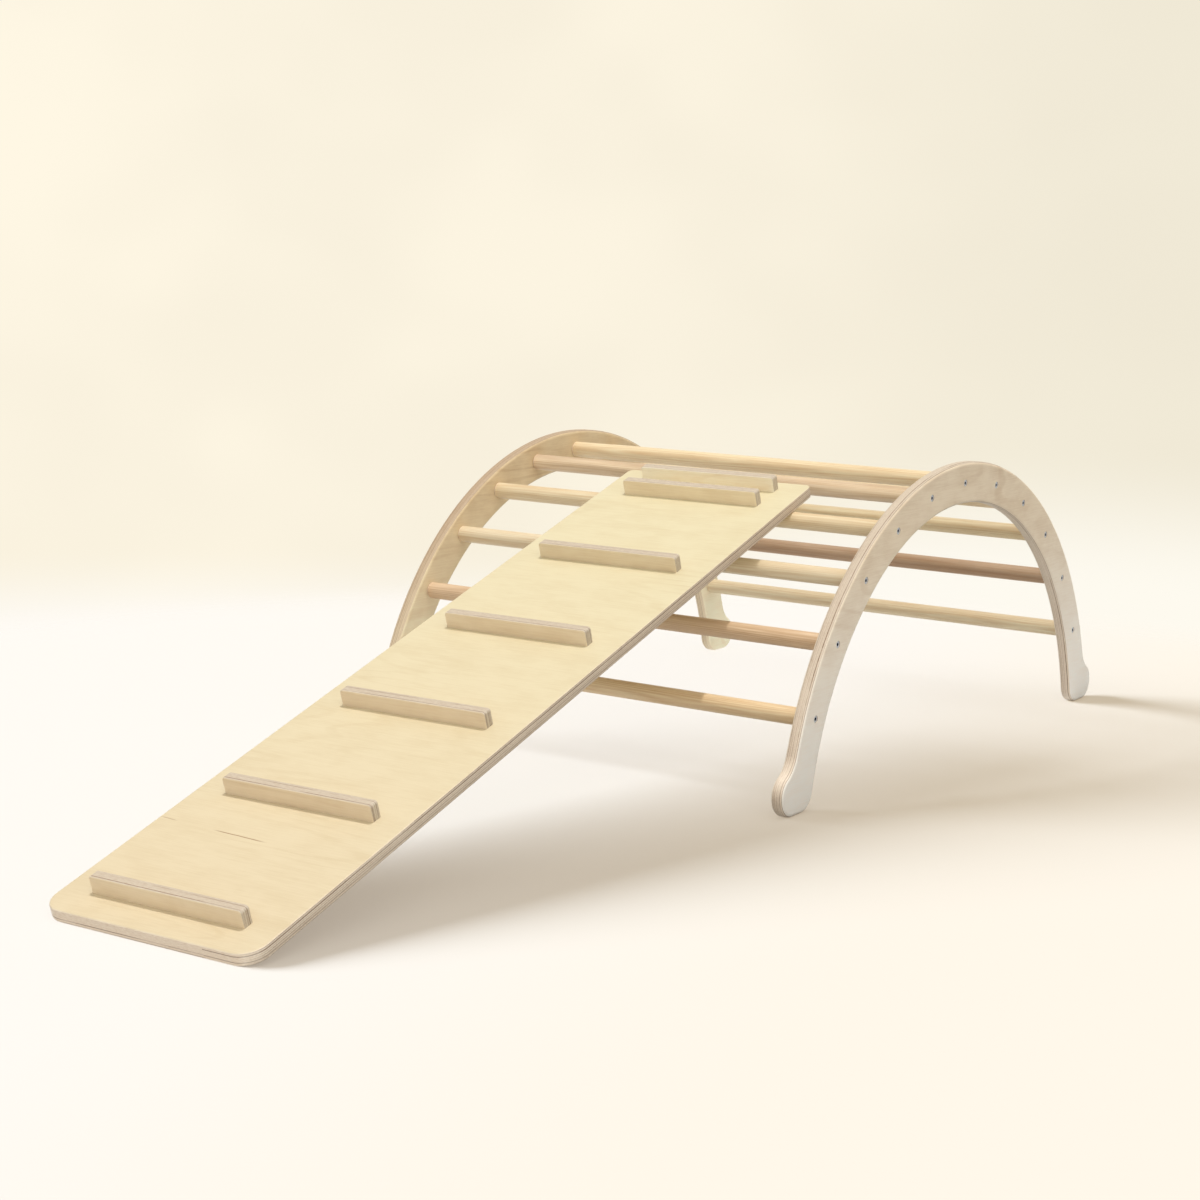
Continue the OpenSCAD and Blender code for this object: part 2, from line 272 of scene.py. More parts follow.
# Rounded arrises, where sanding and hands leave the wood paler; the paler arris is also in part a
# painted highlight along the rounded edge
arris, given, put = group(
    "arris_wear_and_highlight",
    [("Vector", "Normal", None), ("Vector", "Place", None)],
    [("Float", "Mask")],
)
nx, ny, nz = parts(arris, given["Normal"])
largest = calc(
    arris, "MAXIMUM", calc(arris, "ABSOLUTE", nx),
    calc(arris, "MAXIMUM", calc(arris, "ABSOLUTE", ny), calc(arris, "ABSOLUTE", nz)),
)
rubbed = cloud(arris, given["Place"], (30.0, 30.0, 30.0), 2.0, 0.6)
rounded = step(arris, largest, 0.99, 0.86)
feed(arris, put["Mask"], calc(arris, "MULTIPLY", rounded, step(arris, rubbed, 0.3, 0.6)))

RELIEF = 0.0002
PLY_BUMP = 0.12
PLY_GLOSS = 0.35
PALE_UP_TO = 0.36
# Brown of the glue lines, also used for the painted contact shadow where a rung meets a panel
GLUE_AND_CONTACT_SHADOW = shade(120, 84, 60)


def timber(name):
    """Material with its Principled shader: the tree, the shader and the piece's own axes."""
    material = bpy.data.materials.new(name)
    material.use_nodes = True
    tree = material.node_tree
    shader = tree.nodes["Principled BSDF"]
    axes = add(tree, "TexCoord")
    return material, tree, shader, axes.outputs["Object"], axes.outputs["Normal"]


def surface(tree, shader, colour, rough, height, bump):
    """Plugs the finish into the shader, with its height as a bump."""
    feed(tree, shader.inputs["Base Color"], colour)
    feed(tree, shader.inputs["Roughness"], rough)
    bumps = add(tree, "Bump", {"Strength": bump, "Distance": RELIEF, "Height": height})
    feed(tree, shader.inputs["Normal"], bumps.outputs[0])


def dress(node, material):
    """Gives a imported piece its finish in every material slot."""
    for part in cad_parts[node].material_slots:
        part.material = material


def plywood(node, name, reorder, thickness, count, *, face, edge, lines, seed, figure, mottle,
            side_tone=0.0, foot_bounce_and_tone=None):
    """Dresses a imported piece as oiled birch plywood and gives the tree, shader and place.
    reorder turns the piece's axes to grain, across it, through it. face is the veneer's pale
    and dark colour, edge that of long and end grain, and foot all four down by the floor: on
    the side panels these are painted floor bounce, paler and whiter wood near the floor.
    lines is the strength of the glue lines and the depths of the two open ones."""
    material, tree, shader, place, normal = timber(name)
    pale, dark = face
    long_grain, end_grain = edge
    # Down by the floor the colours blend into the foot ones: on the side panels that is painted
    # floor bounce
    if foot_bounce_and_tone:
        lift = step(tree, parts(tree, place)[2], 0.0, PALE_UP_TO)
        pale = mix(tree, lift, foot_bounce_and_tone[0], pale)
        dark = mix(tree, lift, foot_bounce_and_tone[1], dark)
        long_grain = mix(tree, lift, foot_bounce_and_tone[2], long_grain)
        end_grain = mix(tree, lift, foot_bounce_and_tone[3], end_grain)
    place, normal = reorder(tree, place, normal)
    skin = use(tree, veneer, {
        "Place": place, "Pale": pale, "Dark": dark,
        "Figure": figure, "Mottle": mottle, "Seed": seed,
    })
    cut = use(tree, plies, {
        "Place": place, "Normal": normal, "Thickness": thickness, "Plies": float(count),
        "Long grain": long_grain, "End grain": end_grain, "Glue": GLUE_AND_CONTACT_SHADOW,
        "Glue strength": lines[0], "Open line": lines[1], "Second line": lines[2],
        "Side tone": side_tone, "Seed": seed,
    })
    wear_and_highlight = use(tree, arris, {"Normal": normal, "Place": place})
    colour = mix(tree, cut["Face"], cut["Colour"], skin["Colour"])
    # Arrises blend to the long grain colour: wear, and in part a painted highlight
    colour = mix(tree, calc(tree, "MULTIPLY", wear_and_highlight["Mask"], 0.25), colour, long_grain)
    rough = calc(tree, "ADD", skin["Roughness"], calc(tree, "MULTIPLY", wear_and_highlight["Mask"], 0.05))
    height = calc(tree, "ADD", skin["Height"], cut["Height"])
    surface(tree, shader, colour, rough, height, PLY_BUMP)
    shader.inputs["Specular IOR Level"].default_value = PLY_GLOSS
    dress(node, material)
    return tree, shader, place


def panel_axes(node):
    """The panel's thickness is along X, its face grain along Y."""
    low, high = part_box(node)
    middle = (low.x + high.x) / 2

    def reorder(tree, place, normal):
        x, y, z = parts(tree, place)
        nx, ny, nz = parts(tree, normal)
        return vector(tree, y, z, calc(tree, "SUBTRACT", x, middle)), vector(tree, ny, nz, nx)
    return reorder


# The side panels' foot colours are painted floor bounce: the wood is made paler and whiter near
# the floor
plywood(
    "side_panel_right", "panel_ply_right", panel_axes("side_panel_right"),
    PANEL_THICK, PANEL_PLIES,
    face=(shade(246, 230, 208), shade(210, 184, 156)),
    edge=(shade(215, 203, 188), shade(180, 158, 136)),
    foot_bounce_and_tone=(shade(255, 253, 251), shade(251, 238, 228), shade(243, 232, 219), shade(206, 184, 165)),
    lines=(1.15, 0.27, 0.42), seed=3.0, figure=0.45, mottle=0.35,
)
plywood(
    "side_panel_left", "panel_ply_left", panel_axes("side_panel_left"),
    PANEL_THICK, PANEL_PLIES,
    face=(shade(236, 215, 179), shade(199, 167, 126)),
    edge=(shade(194, 172, 148), shade(160, 135, 108)),
    foot_bounce_and_tone=(shade(255, 250, 224), shade(244, 224, 192), shade(240, 226, 200), shade(214, 192, 162)),
    lines=(0.8, -0.2, 0.1), seed=11.0, figure=0.35, mottle=0.4,
)

# ---------------------------------------------------------------------------------------
# Rungs: eleven turned beech dowels, 24 mm thick, chamfered where they butt on the panels.
# Each comes from another plank, so tone, heartwood and the lie of the rings differ.
# ---------------------------------------------------------------------------------------

RUNG_HEART = shade(152, 116, 84)
# Painted highlight on the chamfer at each rung end
RUNG_TIP_HIGHLIGHT = shade(246, 228, 212)
# For each rung: pale wood, deep wood, share of brown heartwood, side of the pith (radians)
RUNG_WOODS = [
    (shade(240, 220, 186), shade(210, 174, 132), 0.00, 0.4),
    (shade(230, 206, 178), shade(196, 162, 128), 0.10, 2.1),
    (shade(237, 225, 199), shade(208, 181, 144), 0.05, 3.6),
    (shade(237, 223, 193), shade(209, 180, 140), 0.00, 5.0),
    (shade(249, 233, 208), shade(215, 184, 146), 0.50, 0.9),
    (shade(242, 227, 194), shade(213, 181, 140), 0.05, 2.8),
    (shade(240, 226, 194), shade(211, 182, 142), 0.10, 4.3),
    (shade(236, 222, 192), shade(208, 179, 140), 0.20, 1.6),
    (shade(232, 221, 190), shade(204, 177, 137), 0.25, 5.6),
    (shade(200, 178, 156), shade(174, 141, 112), 0.60, 3.1),
    (shade(228, 216, 188), shade(201, 173, 136), 0.10, 0.2),
]
RUNG_COUNT = len(RUNG_WOODS)
RINGS_PER_METRE = 420.0
PITH_REACH = 0.055
PLANK_STRIDE = 0.9
RUNG_BUMP = 0.1
RUNG_GLOSS = 0.4

# Turned beech: x is the dowel's axis, growth rings lie round the pith, heartwood in patches
dowel, given, put = group(
    "dowel_wood",
    [("Vector", "Place", None), ("Color", "Pale", None), ("Color", "Deep", None),
     ("Color", "Heart", None), ("Float", "Heartwood", 0.0), ("Vector", "Pith", None),
     ("Float", "Seed", 0.0)],
    FINISH_OUTPUTS,
)
wander = cloud(dowel, given["Place"], (2.2, 18.0, 18.0), 2.0, 0.5, given["Seed"])
wander = calc(dowel, "MULTIPLY", calc(dowel, "SUBTRACT", wander, 0.5), 0.016)
reach = vector_calc(dowel, "SUBTRACT", given["Place"], given["Pith"])[0]
flat = vector_calc(dowel, "MULTIPLY", reach, (0.0, 1.0, 1.0))[0]
radius = vector_calc(dowel, "LENGTH", flat)["Value"]
ring = calc(dowel, "ADD", radius, wander)
growth = calc(dowel, "FRACT", calc(dowel, "MULTIPLY", ring, RINGS_PER_METRE))
growth = calc(dowel, "ABSOLUTE", calc(dowel, "SUBTRACT", growth, 0.6))
growth = step(dowel, growth, 0.0, 0.55, 1.0, 0.0)
fibre = cloud(dowel, given["Place"], (16.0, 620.0, 620.0), 2.0, 0.6, given["Seed"])
flecks = cloud(dowel, given["Place"], (260.0, 1900.0, 1900.0), 1.0, 0.5, given["Seed"])
flecks = step(dowel, flecks, 0.64, 0.78)
other_seed = calc(dowel, "ADD", given["Seed"], 5.0)
broad = cloud(dowel, given["Place"], (3.5, 40.0, 40.0), 3.0, 0.55, other_seed)
amount = calc(dowel, "MULTIPLY_ADD", growth, 0.4, 0.26)
amount = calc(dowel, "MULTIPLY_ADD", calc(dowel, "SUBTRACT", fibre, 0.5), 1.3, amount)
amount = calc(dowel, "MULTIPLY_ADD", calc(dowel, "SUBTRACT", broad, 0.5), 1.0, amount)
amount = calc(dowel, "MULTIPLY_ADD", flecks, 0.2, amount, clamp=True)
colour = mix(dowel, amount, given["Pale"], given["Deep"])
other_seed = calc(dowel, "ADD", given["Seed"], 21.0)
core = cloud(dowel, given["Place"], (2.6, 60.0, 60.0), 2.0, 0.5, other_seed)
core = calc(dowel, "ADD", core, calc(dowel, "MULTIPLY", given["Heartwood"], 0.3))
core = calc(dowel, "MULTIPLY", step(dowel, core, 0.52, 0.8), given["Heartwood"])
feed(dowel, put["Colour"], mix(dowel, core, colour, given["Heart"]))
feed(dowel, put["Roughness"], calc(dowel, "MULTIPLY_ADD", fibre, 0.14, 0.4))
feed(dowel, put["Height"], calc(dowel, "MULTIPLY_ADD", flecks, -0.6, fibre))

for number, (pale, deep, heart, side) in enumerate(RUNG_WOODS, 1):
    name = "rung_%02d" % number
    low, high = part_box(name)
    centre = (low + high) / 2
    rung_wood, tree, shader, place = timber("wood_" + name)[:4]
    own = vector_calc(tree, "SUBTRACT", place, (number * -PLANK_STRIDE, centre.y, centre.z))[0]
    beech = use(tree, dowel, {
        "Place": own, "Pale": pale, "Deep": deep, "Heart": RUNG_HEART,
        "Heartwood": heart, "Seed": number * 3.7,
        "Pith": (0.0, PITH_REACH * math.cos(side), PITH_REACH * math.sin(side)),
    })
    # Painted highlight: a paler ring on the chamfer at each end. Painted contact shadow: a dark
    # line where the end meets the panel
    to_end = calc(tree, "ABSOLUTE", calc(tree, "SUBTRACT", parts(tree, place)[0], centre.x))
    to_end = calc(tree, "SUBTRACT", (high.x - low.x) / 2, to_end)
    colour = mix(tree, step(tree, to_end, 0.0012, 0.003, 0.7, 0.0), beech["Colour"], RUNG_TIP_HIGHLIGHT)
    colour = mix(tree, step(tree, to_end, 0.0003, 0.0009, 0.75, 0.0), colour, GLUE_AND_CONTACT_SHADOW)
    surface(tree, shader, colour, beech["Roughness"], beech["Height"], RUNG_BUMP)
    shader.inputs["Specular IOR Level"].default_value = RUNG_GLOSS
    dress(name, rung_wood)

# ---------------------------------------------------------------------------------------
# Panel screws: nickel-plated steel connector screws, one through the panel into each end of
# a rung. Countersunk head with a 4 mm hexagon socket, plain collar, coarse thread in the rung.
# ---------------------------------------------------------------------------------------

HEAD_FACES = {
    "right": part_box("panel_screws_right")[1].x,
    "left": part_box("panel_screws_left")[0].x,
}
ARCH_MIDDLE = (HEAD_FACES["right"] + HEAD_FACES["left"]) / 2
ARCH_HALF = (HEAD_FACES["right"] - HEAD_FACES["left"]) / 2
NICKEL_DOWN_TO = 0.0005
SHADE_FROM = 0.0009

# Nickel where a head lies open. Deeper in, the steel is painted dark: painted shade in the
# sockets, and the same dark covers all of the wood screws under the ramp.
screw_steel, tree, steel, place = timber("screw_nickel")[:4]
steel.inputs["Metallic"].default_value = 1.0
brushed = cloud(tree, place, (900.0, 900.0, 900.0), 3.0, 0.6)
stain = cloud(tree, place, (160.0, 160.0, 160.0), 2.0, 0.5, 4.0)
finish = mix(tree, stain, shade(222, 227, 238), shade(160, 168, 186))
out_x = calc(tree, "ABSOLUTE", calc(tree, "SUBTRACT", parts(tree, place)[0], ARCH_MIDDLE))
# Painted shade: dark from a little below the head's face inwards
socket_shade = step(tree, out_x, ARCH_HALF - SHADE_FROM, ARCH_HALF - NICKEL_DOWN_TO, 1.0, 0.0)
feed(tree, steel.inputs["Base Color"], mix(tree, socket_shade, finish, shade(60, 66, 84)))
feed(tree, steel.inputs["Roughness"], calc(tree, "MULTIPLY_ADD", brushed, 0.25, 0.18))
dent = add(tree, "Bump", {"Strength": 0.15, "Distance": 0.0001, "Height": brushed})
feed(tree, steel.inputs["Normal"], dent.outputs[0])

SCREW_SIDES = 48
THREAD_STEPS = 20
CROSS_ARM = 0.28


def socket_reach(form, size, angle):
    """Distance of a screw ring from its axis at an angle: round, hexagon or cross recess. A
    hexagon's size is half its width across the flats."""
    if form == "hexagon":
        sixth = math.pi / 3
        return size / math.cos((angle % sixth) - sixth / 2)
    if form == "cross":
        quarter = math.pi / 2
        turn = abs((angle % quarter) - quarter / 2) - quarter / 2
        arm = size * CROSS_ARM
        return min(size, arm / max(abs(math.sin(turn)), 0.01))
    return size


def join_rings(made, rings, sides):
    """Faces between each ring of corners and the next; a ring of one repeated corner closes."""
    for one, two in zip(rings, rings[1:]):
        for side in range(sides):
            following = (side + 1) % sides
            corners = [one[side], two[side], two[following], one[following]]
            made.faces.new(list(dict.fromkeys(corners)))


def turned_mesh(name, profile, thread):
    """Screw along -z, head's face at z = 0: profile is (form, size, z) from the socket's floor
    over the head to the tip; thread is (start z, end z, core radius, crest radius, pitch)."""
    made = bmesh.new()
    rings = []
    for form, size, z in profile:
        if size == 0:
            rings.append([made.verts.new((0, 0, z))] * SCREW_SIDES)
            continue
        circle = []
        for side in range(SCREW_SIDES):
            angle = 2 * math.pi * side / SCREW_SIDES
            reach = socket_reach(form, size, angle)
            circle.append(made.verts.new((reach * math.cos(angle), reach * math.sin(angle), z)))
        rings.append(circle)
    join_rings(made, rings, SCREW_SIDES)
    start, end, core, crest, pitch = thread
    turns = (start - end) / pitch
    steps = int(turns * THREAD_STEPS)
    blades = []
    for count in range(steps + 1):
        share = count / steps
        angle = 2 * math.pi * turns * share
        z = start + (end - start) * share
        run_in = min(1.0, share * 12, (1 - share) * 6)
        tip = core + (crest - core) * run_in
        blades.append([
            made.verts.new((r * math.cos(angle), r * math.sin(angle), z + rise))
            for r, rise in ((core * 0.98, pitch * 0.22), (tip, 0), (core * 0.98, -pitch * 0.22))
        ])
    for one, two in zip(blades, blades[1:]):
        made.faces.new((one[0], two[0], two[1], one[1]))
        made.faces.new((one[1], two[1], two[2], one[2]))
        made.faces.new((one[2], two[2], two[0], one[0]))
    made.faces.new(blades[0][::-1])
    made.faces.new(blades[-1])
    bmesh.ops.recalc_face_normals(made, faces=made.faces)
    mesh = bpy.data.meshes.new(name)
    made.to_mesh(mesh)
    made.free()
    return mesh


def place_screws(name, pattern, spots, body, node):
    """One object of all the screws of a node, each copied from the pattern to its spot."""
    made = bmesh.new()
    for spot in spots:
        copy = pattern.copy()
        copy.transform(spot)
        made.from_mesh(copy)
        bpy.data.meshes.remove(copy)
    mesh = bpy.data.meshes.new(name)
    made.to_mesh(mesh)
    made.free()
    mesh.shade_smooth()
    piece = bpy.data.objects.new(name, mesh)
    bpy.context.scene.collection.objects.link(piece)
    crisp = piece.modifiers.new("crisp", "EDGE_SPLIT")
    crisp.split_angle = math.radians(35)
    mesh.materials.append(screw_steel)
    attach(piece, body)
    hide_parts(node)


HEAD_R = 0.005
HEAD_DEPTH = 0.003
HEX_R = 0.0021
HEX_MOUTH_R = 0.0022
HEX_DEPTH = 0.0025
SHANK_R = 0.0035
SHANK_TO = 0.0172
CORE_R = 0.0025
CREST_R = 0.0034
PITCH = 0.003
NECK = 0.001
THREAD_FROM = 0.019
THREAD_TO = 0.0475
panel_screw = turned_mesh("panel_screw", [
    ("round", 0.0, -0.0031), ("hexagon", HEX_R, -HEX_DEPTH), ("hexagon", HEX_MOUTH_R, -0.0003),
    ("round", 0.0029, 0.0), ("round", HEAD_R - 0.0009, 0.0), ("round", HEAD_R, -0.0005),
    ("round", SHANK_R, -HEAD_DEPTH), ("round", SHANK_R, -SHANK_TO),
    ("round", CORE_R, -SHANK_TO - NECK), ("round", CORE_R, -THREAD_TO),
    ("round", 0.0012, -0.0495), ("round", 0.0, -0.0499),
], (-THREAD_FROM, -THREAD_TO, CORE_R, CREST_R, PITCH))

for side, sign in (("right", 1), ("left", -1)):
    spots = []
    for number in range(1, RUNG_COUNT + 1):
        low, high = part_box("rung_%02d" % number)
        centre = (low + high) / 2
        aim = Matrix.Rotation(sign * math.pi / 2, 4, "Y")
        spin = Matrix.Rotation(number * 1.7, 4, "Z")
        spots.append(Matrix.Translation((HEAD_FACES[side], centre.y, centre.z)) @ aim @ spin)
    place_screws("connector_screws_" + side, panel_screw, spots, "arch", "panel_screws_" + side)

# ---------------------------------------------------------------------------------------
# Ramp board: 16 mm birch plywood of eleven plies, corners rounded, edges broken. The face
# grain runs across the board; one veneer joint shows as a fine line near the foot.
# ---------------------------------------------------------------------------------------

RAMP_THICK = 0.016
RAMP_PLIES = 11
RAMP_TURN = Euler((math.radians(17.5132), 0.0, math.radians(1.5)))
# Spot on the axis of the rung that carries the ramp, under the ramp's middle line, and from
# there, in the ramp's own axes, the middle of its foot
RAMP_HOOK = Vector((0.0345, -0.20453, 0.34553))
RAMP_FOOT = Vector((0.0, -1.192666, 0.0134928))
ramp_turn = RAMP_TURN.to_matrix().to_4x4()
ramp_frame = Matrix.Translation(RAMP_HOOK) @ ramp_turn @ Matrix.Translation(RAMP_FOOT)


def on_ramp(tree, place, normal):
    """Turns the object's axes to the ramp's: across, up the board, off its underside."""
    own = add(tree, "Mapping", {
        "Vector": place, "Location": ramp_frame.translation, "Rotation": RAMP_TURN,
    }, vector_type="TEXTURE")
    facing = add(tree, "Mapping", {"Vector": normal, "Rotation": RAMP_TURN}, vector_type="TEXTURE")
    return own.outputs[0], facing.outputs[0]


def board_axes(tree, place, normal):
    place, normal = on_ramp(tree, place, normal)
    x, y, z = parts(tree, place)
    return vector(tree, x, y, calc(tree, "SUBTRACT", z, RAMP_THICK / 2)), normal


# Towards its foot the board's face turns a little pinker and its edges paler
tree, shader, place = plywood(
    "ramp_board", "ramp_ply", board_axes, RAMP_THICK, RAMP_PLIES,
    face=(shade(221, 212, 181), shade(203, 186, 148)),
    edge=(shade(239, 228, 211), shade(195, 171, 151)),
    foot_bounce_and_tone=(shade(218, 204, 176), shade(199, 180, 146), shade(250, 240, 226), shade(212, 190, 168)),
    lines=(1.0, 0.2, -0.3), seed=5.0, figure=0.2, mottle=0.25, side_tone=0.4,
)

# The open glue lines lie higher in the edge to the right of this place than to the left
SPLIT_AT = 0.085
across, up = parts(tree, place)[:2]
cut = next(node for node in tree.nodes if node.type == "GROUP" and node.node_tree == plies)
beyond = calc(tree, "GREATER_THAN", across, SPLIT_AT)
feed(tree, cut.inputs["Open line"], calc(tree, "MULTIPLY_ADD", beyond, 0.44, -0.2))
feed(tree, cut.inputs["Second line"], calc(tree, "MULTIPLY_ADD", beyond, 0.2, -0.42))

# The veneer joint runs a little askew and wavers; two stretches of it show: (middle across the
# board, half-length at full strength, half-length where it ends, strength)
JOINT_AT = 0.1895
JOINT_SKEW = 0.045
JOINT_WAVER = 0.003
JOINT_LINE = (0.0003, 0.0012)
JOINT_STRETCHES = ((-0.026, 0.024, 0.044, 0.7), (-0.137, 0.006, 0.016, 0.4))
JOINT_BROWN = shade(134, 88, 52)
wobble = cloud(tree, place, (25.0, 1.0, 1.0), 2.0, 0.5, 2.0)
off = calc(tree, "MULTIPLY_ADD", wobble, JOINT_WAVER, JOINT_AT)
off = calc(tree, "SUBTRACT", up, off)
off = calc(tree, "MULTIPLY_ADD", across, JOINT_SKEW, off)
line = step(tree, calc(tree, "ABSOLUTE", off), *JOINT_LINE, 1.0, 0.0)
shown = []
for middle, full, end, strength in JOINT_STRETCHES:
    away = calc(tree, "ABSOLUTE", calc(tree, "SUBTRACT", across, middle))
    shown.append(step(tree, away, full, end, strength, 0.0))
line = calc(tree, "MULTIPLY", line, calc(tree, "MAXIMUM", *shown))
bare_board = shader.inputs["Base Color"].links[0].from_socket
feed(tree, shader.inputs["Base Color"], mix(tree, line, bare_board, JOINT_BROWN))

# ---------------------------------------------------------------------------------------
# Cleats: strips of 14 mm birch plywood standing on edge across the board, five as steps and
# two pairs at the top end that hook over a rung. Their free edge shows the plies.
# ---------------------------------------------------------------------------------------

CLEAT_THICK = 0.014
CLEAT_PLIES = 9
STEP_COUNT = 5
STEP_FIRST = 0.041
STEP_PITCH = 0.2245
STEP_STARTS = [STEP_FIRST + i * STEP_PITCH for i in range(STEP_COUNT)]
HOOK_LOW = 1.1635
HOOK_HIGH = 1.215
CLEAT_SPOTS = {"step_cleat_%d" % (i + 1): start for i, start in enumerate(STEP_STARTS)}
CLEAT_SPOTS.update(
    flip_hook_low=HOOK_LOW, flip_hook_high=HOOK_HIGH,
    hook_cleat_low=HOOK_LOW, hook_cleat_high=HOOK_HIGH,
)
# Pale and dark face colour and strength of the glue lines, for each cleat in that order
CLEAT_WOODS = [
    (shade(234, 217, 190), shade(212, 189, 156), 0.95),
    (shade(236, 220, 196), shade(214, 191, 160), 0.95),
    (shade(238, 222, 198), shade(215, 190, 158), 0.9),
    (shade(238, 222, 197), shade(213, 189, 158), 0.75),
    (shade(236, 221, 194), shade(211, 187, 154), 0.6),
    (shade(246, 231, 202), shade(221, 197, 163), 0.4),
    (shade(255, 249, 232), shade(236, 216, 188), 0.3),
    (shade(236, 220, 192), shade(210, 186, 152), 0.8),
    (shade(232, 216, 190), shade(208, 183, 150), 0.8),
]
CLEAT_EDGE = (shade(218, 210, 196), shade(184, 166, 148))


def cleat_axes(start):
    """A cleat's face grain runs along it, and its plies lie one behind the other up the ramp."""
    def reorder(tree, place, normal):
        place, normal = on_ramp(tree, place, normal)
        x, y, z = parts(tree, place)
        nx, ny, nz = parts(tree, normal)
        through = calc(tree, "SUBTRACT", y, start + CLEAT_THICK / 2)
        return vector(tree, x, z, through), vector(tree, nx, nz, ny)
    return reorder


for count, (name, start) in enumerate(CLEAT_SPOTS.items()):
    pale, dark, strength = CLEAT_WOODS[count]
    plywood(
        name, "ply_" + name, cleat_axes(start), CLEAT_THICK, CLEAT_PLIES,
        face=(pale, dark), edge=CLEAT_EDGE, lines=(strength, -0.34, 0.2),
        seed=20.0 + 7.3 * count, figure=0.35, mottle=0.3, side_tone=0.35,
    )

# ---------------------------------------------------------------------------------------
# Cleat screws: countersunk cross-recess wood screws from below, three in each cleat; the
# long ones run through a hook cleat, the board and the cleat above it.
# ---------------------------------------------------------------------------------------

WOOD_HEAD_R = 0.004
WOOD_SHANK_R = 0.0019
WOOD_SHANK_TO = 0.008
WOOD_CORE_R = 0.0014
WOOD_CREST_R = 0.0021
WOOD_PITCH = 0.0024
SHORT_SCREW = 0.03
LONG_SCREW = 0.052
SCREW_SPACING = 0.075
CLEAT_HIGH = 0.0215


def wood_screw(name, length):
    return turned_mesh(name, [
        ("round", 0.0, -0.0021), ("cross", 0.0011, -0.0018), ("cross", 0.0021, 0.0),
        ("round", WOOD_HEAD_R - 0.0001, 0.0), ("round", WOOD_HEAD_R, -0.0002),
        ("round", WOOD_SHANK_R, -0.0026), ("round", WOOD_SHANK_R, -WOOD_SHANK_TO),
        ("round", WOOD_CORE_R, -WOOD_SHANK_TO - NECK), ("round", WOOD_CORE_R, 0.006 - length),
        ("round", 0.0, -length),
    ], (-WOOD_SHANK_TO - NECK, 0.002 - length, WOOD_CORE_R * 0.9, WOOD_CREST_R, WOOD_PITCH))


def under_ramp(starts, z):
    """Spots of the screws under the cleats that start at these places up the board."""
    spots = []
    for start in starts:
        for count in (-1, 0, 1):
            spot = Vector((count * SCREW_SPACING, start + CLEAT_THICK / 2, z))
            turn = Matrix.Rotation(math.pi, 4, "X") @ Matrix.Rotation(start * 40 + count, 4, "Z")
            spots.append(ramp_frame @ Matrix.Translation(spot) @ turn)
    return spots


place_screws("cleat_screws", wood_screw("short_screw", SHORT_SCREW),
             under_ramp(STEP_STARTS, 0.0), "ramp", "step_cleat_screws")
place_screws("long_screws", wood_screw("long_screw", LONG_SCREW),
             under_ramp((HOOK_LOW, HOOK_HIGH), -CLEAT_HIGH), "ramp", "hook_screws")

# ---------------------------------------------------------------------------------------
# Studio: a pale floor that fades into a cream backdrop, soft daylight from above and from one
# side, one lamp overhead, and one low on the left that draws the soft shadow on the floor.
# ---------------------------------------------------------------------------------------

FLOOR_WHITE = shade(149, 149, 149)
FLOOR_GLOW = shade(168, 157, 144)
FLOOR_GLOW_RIGHT = shade(168, 150, 122)
FLOOR_BOUNCE = shade(176, 173, 168)
GLOW_TOWARDS = Vector((0.6, 0.1, 0.0))
FLOOR_MIDDLE = Vector((0.1, -0.45, 0.0))
FLOOR_FADE = (1.35, 1.75)
FLOOR_MARGIN = 0.05
FLOOR_RINGS = 24
FLOOR_SIDES = 96

made = bmesh.new()
rings = [[made.verts.new(FLOOR_MIDDLE)] * FLOOR_SIDES]
for ring in range(1, FLOOR_RINGS + 1):
    reach = (FLOOR_FADE[1] + FLOOR_MARGIN) * ring / FLOOR_RINGS
    circle = []
    for side in range(FLOOR_SIDES):
        angle = 2 * math.pi * side / FLOOR_SIDES
        spot = Vector((reach * math.cos(angle), reach * math.sin(angle), 0))
        circle.append(made.verts.new(FLOOR_MIDDLE + spot))
    rings.append(circle)
join_rings(made, rings, FLOOR_SIDES)
mesh = bpy.data.meshes.new("floor")
made.to_mesh(mesh)
made.free()
floor = bpy.data.objects.new("floor", mesh)
bpy.context.scene.collection.objects.link(floor)

# The floor glows for the camera, warmer to the right, and is see-through past its rim and from
# below
paper, tree, shader, place = timber("studio_floor")[:4]
ray = add(tree, "LightPath")
by_camera = ray.outputs["Is Camera Ray"]
feed(tree, shader.inputs["Base Color"], mix(tree, by_camera, FLOOR_BOUNCE, FLOOR_WHITE))
rightness = vector_calc(tree, "DOT_PRODUCT", place, GLOW_TOWARDS)["Value"]
glow = mix(tree, step(tree, rightness, -0.1, 0.38), FLOOR_GLOW, FLOOR_GLOW_RIGHT)
feed(tree, shader.inputs["Emission Color"], glow)
feed(tree, shader.inputs["Emission Strength"], by_camera)
shader.inputs["Roughness"].default_value = 0.9
shader.inputs["Specular IOR Level"].default_value = 0.0
from_middle = vector_calc(tree, "DISTANCE", place, FLOOR_MIDDLE)["Value"]
from_below = add(tree, "NewGeometry").outputs["Backfacing"]
gone = calc(tree, "MAXIMUM", step(tree, from_middle, *FLOOR_FADE), from_below)
clear = add(tree, "BsdfTransparent")
blend = add(tree, "MixShader")
feed(tree, blend.inputs[0], gone)
feed(tree, blend.inputs[1], shader.outputs[0])
feed(tree, blend.inputs[2], clear.outputs[0])
feed(tree, tree.nodes["Material Output"].inputs["Surface"], blend.outputs[0])
mesh.materials.append(paper)

